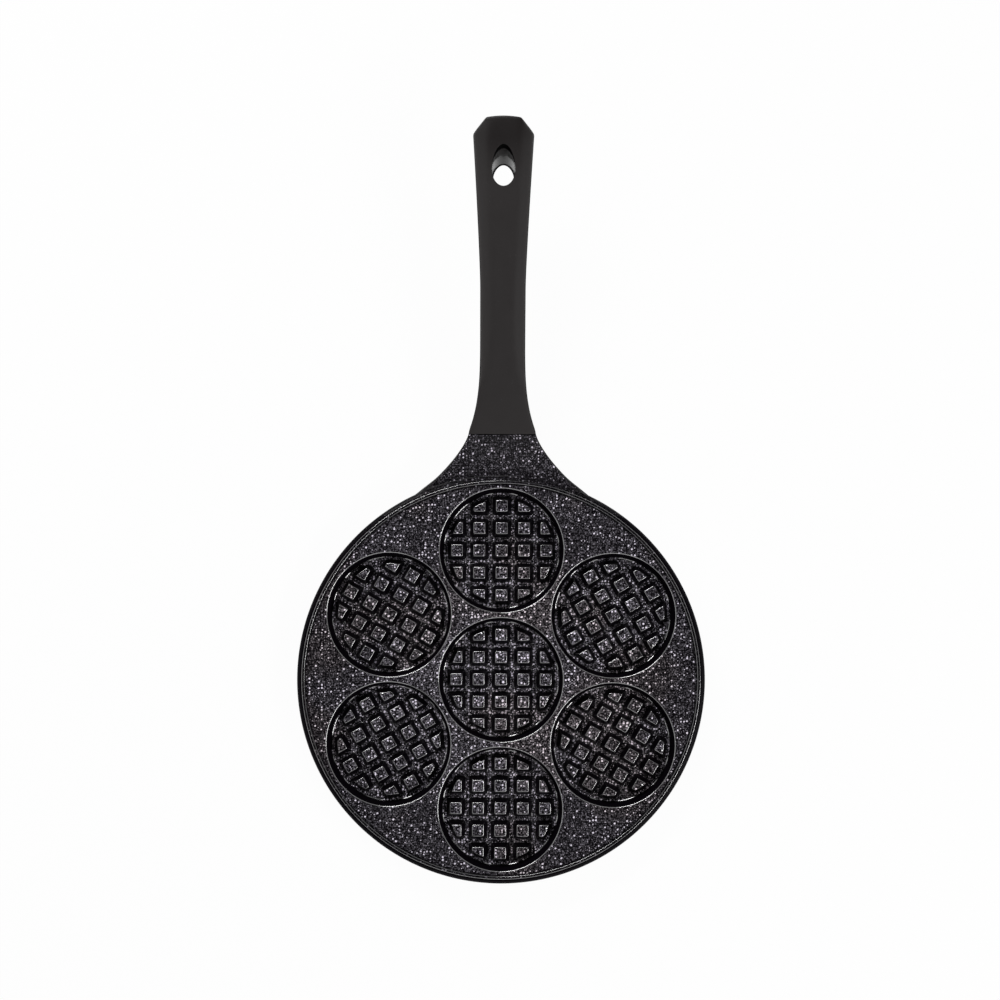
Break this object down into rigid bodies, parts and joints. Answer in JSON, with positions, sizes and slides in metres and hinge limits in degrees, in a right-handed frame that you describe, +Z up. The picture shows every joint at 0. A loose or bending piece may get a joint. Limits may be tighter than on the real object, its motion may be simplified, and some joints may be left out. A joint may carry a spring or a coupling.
{
  "type": "waffle pan",
  "caption": "Round cast frying pan for small waffles: wells with square pegs, speckled non-stick coat, induction disc and a long faceted handle with a hanging hole.",
  "frame": {"origin": "centre of the flat base of the pan, on the surface it stands on", "axes": "+Y from the pan's centre along the handle, +Z up, out of the wells"},
  "size_m": [0.262, 0.4795, 0.0677],
  "materials": {
    "speckled_coating": "matte",
    "base_steel": "satin",
    "soft_grip": "matte",
    "plated_steel": "satin"
  },
  "bodies": {
    "root": {"pan_casting": "speckled_coating", "base_plate": "base_steel", "handle_grip": "soft_grip", "handle_screw": "plated_steel", "flat_washer": "plated_steel", "spring_washer": "plated_steel"}
  },
  "joints": []
}
